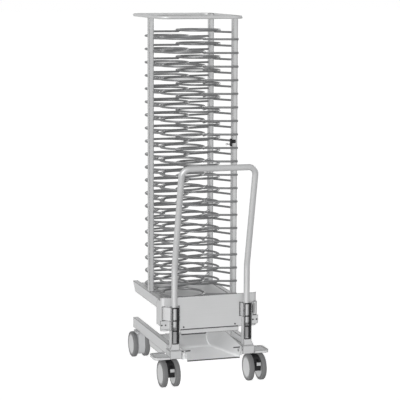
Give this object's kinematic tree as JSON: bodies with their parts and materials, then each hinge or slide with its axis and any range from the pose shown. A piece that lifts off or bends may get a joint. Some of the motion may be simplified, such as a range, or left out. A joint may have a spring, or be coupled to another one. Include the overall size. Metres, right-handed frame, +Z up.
{
  "type": "mobile plate rack",
  "caption": "Tall mobile rack of interleaved wire plate rings on square posts, over a cantilevered trolley with push handle, drip tray and twin-wheel casters.",
  "frame": {"origin": "on the floor under the middle of the rack's outer box", "axes": "+Z up, -Y towards the push handle at the front, +X to the right seen from the front"},
  "size_m": [0.551, 0.782, 1.6735],
  "materials": {
    "stainless_sheet": "satin",
    "ring_wire": "satin",
    "plain_steel": "satin",
    "tyre": "matte",
    "wheel_disc": "matte",
    "caster_housing": "matte",
    "brake_plastic": "matte",
    "clip_plastic": "matte",
    "bumper_plastic": "matte"
  },
  "bodies": {
    "chassis": {"apron": "stainless_sheet", "apron_lugs": "stainless_sheet", "apron_screws": "plain_steel", "base_plate": "stainless_sheet", "bumper_left": "bumper_plastic", "bumper_right": "bumper_plastic", "caster_mount_front_left": "plain_steel", "caster_mount_front_right": "plain_steel", "caster_mount_rear_left": "plain_steel", "caster_mount_rear_right": "plain_steel", "chassis_cross_bar": "stainless_sheet", "chassis_rail_left": "stainless_sheet", "chassis_rail_right": "stainless_sheet", "front_foot_left": "stainless_sheet", "front_foot_right": "stainless_sheet", "plate_rings_front": "ring_wire", "plate_rings_rear": "ring_wire", "plate_rings_right": "ring_wire", "post_front_right": "stainless_sheet", "post_left": "stainless_sheet", "post_rear_right": "stainless_sheet", "probe_clip": "clip_plastic", "socket_wings_left": "stainless_sheet", "socket_wings_right": "stainless_sheet", "top_hoop": "stainless_sheet", "tray_hinge_pins": "plain_steel", "upper_cross_bar": "stainless_sheet", "upper_rail_left": "stainless_sheet", "upper_rail_right": "stainless_sheet", "upright_left": "stainless_sheet", "upright_right": "stainless_sheet"},
    "caster_front_left": {"caster_fork_front_left": "caster_housing", "caster_axle_front_left": "plain_steel"},
    "wheel_front_left_left": {"wheel_hub_front_left_left": "wheel_disc", "tyre_front_left_left": "tyre"},
    "wheel_front_left_right": {"wheel_hub_front_left_right": "wheel_disc", "tyre_front_left_right": "tyre"},
    "pedal_front_left": {"brake_pedal_front_left": "brake_plastic"},
    "caster_front_right": {"caster_fork_front_right": "caster_housing", "caster_axle_front_right": "plain_steel"},
    "wheel_front_right_left": {"wheel_hub_front_right_left": "wheel_disc", "tyre_front_right_left": "tyre"},
    "wheel_front_right_right": {"wheel_hub_front_right_right": "wheel_disc", "tyre_front_right_right": "tyre"},
    "pedal_front_right": {"brake_pedal_front_right": "brake_plastic"},
    "caster_rear_left": {"caster_fork_rear_left": "caster_housing", "caster_axle_rear_left": "plain_steel"},
    "wheel_rear_left_left": {"wheel_hub_rear_left_left": "wheel_disc", "tyre_rear_left_left": "tyre"},
    "wheel_rear_left_right": {"wheel_hub_rear_left_right": "wheel_disc", "tyre_rear_left_right": "tyre"},
    "caster_rear_right": {"caster_fork_rear_right": "caster_housing", "caster_axle_rear_right": "plain_steel"},
    "wheel_rear_right_left": {"wheel_hub_rear_right_left": "wheel_disc", "tyre_rear_right_left": "tyre"},
    "wheel_rear_right_right": {"wheel_hub_rear_right_right": "wheel_disc", "tyre_rear_right_right": "tyre"},
    "handle": {"push_handle": "stainless_sheet"},
    "tray": {"drip_tray": "stainless_sheet"}
  },
  "joints": [
    {"name": "swivel_front_left", "type": "hinge", "parent": "chassis", "child": "caster_front_left", "pos_m": [-0.207, -0.246, 0.1252], "axis": [0, 0, 1], "continuous": true},
    {"name": "roll_front_left_left", "type": "hinge", "parent": "caster_front_left", "child": "wheel_front_left_left", "pos_m": [-0.207, -0.279, 0.0625], "axis": [1, 0, 0], "continuous": true},
    {"name": "roll_front_left_right", "type": "hinge", "parent": "caster_front_left", "child": "wheel_front_left_right", "pos_m": [-0.207, -0.279, 0.0625], "axis": [1, 0, 0], "continuous": true},
    {"name": "brake_front_left", "type": "hinge", "parent": "caster_front_left", "child": "pedal_front_left", "pos_m": [-0.207, -0.303, 0.092], "axis": [1, 0, 0], "range_deg": [0, 12]},
    {"name": "swivel_front_right", "type": "hinge", "parent": "chassis", "child": "caster_front_right", "pos_m": [0.207, -0.246, 0.1252], "axis": [0, 0, 1], "continuous": true},
    {"name": "roll_front_right_left", "type": "hinge", "parent": "caster_front_right", "child": "wheel_front_right_left", "pos_m": [0.207, -0.279, 0.0625], "axis": [1, 0, 0], "continuous": true},
    {"name": "roll_front_right_right", "type": "hinge", "parent": "caster_front_right", "child": "wheel_front_right_right", "pos_m": [0.207, -0.279, 0.0625], "axis": [1, 0, 0], "continuous": true},
    {"name": "brake_front_right", "type": "hinge", "parent": "caster_front_right", "child": "pedal_front_right", "pos_m": [0.207, -0.303, 0.092], "axis": [1, 0, 0], "range_deg": [0, 12]},
    {"name": "swivel_rear_left", "type": "hinge", "parent": "chassis", "child": "caster_rear_left", "pos_m": [-0.183, 0.277, 0.1252], "axis": [0, 0, 1], "continuous": true},
    {"name": "roll_rear_left_left", "type": "hinge", "parent": "caster_rear_left", "child": "wheel_rear_left_left", "pos_m": [-0.183, 0.31, 0.0625], "axis": [1, 0, 0], "continuous": true},
    {"name": "roll_rear_left_right", "type": "hinge", "parent": "caster_rear_left", "child": "wheel_rear_left_right", "pos_m": [-0.183, 0.31, 0.0625], "axis": [1, 0, 0], "continuous": true},
    {"name": "swivel_rear_right", "type": "hinge", "parent": "chassis", "child": "caster_rear_right", "pos_m": [0.183, 0.277, 0.1252], "axis": [0, 0, 1], "continuous": true},
    {"name": "roll_rear_right_left", "type": "hinge", "parent": "caster_rear_right", "child": "wheel_rear_right_left", "pos_m": [0.183, 0.31, 0.0625], "axis": [1, 0, 0], "continuous": true},
    {"name": "roll_rear_right_right", "type": "hinge", "parent": "caster_rear_right", "child": "wheel_rear_right_right", "pos_m": [0.183, 0.31, 0.0625], "axis": [1, 0, 0], "continuous": true},
    {"name": "handle_lift", "type": "slide", "parent": "chassis", "child": "handle", "axis": [0, 0, 1], "range_m": [0, 0.095]},
    {"name": "tray_tilt", "type": "hinge", "parent": "chassis", "child": "tray", "pos_m": [0, -0.279, 0.146], "axis": [1, 0, 0], "range_deg": [0, 15]}
  ]
}
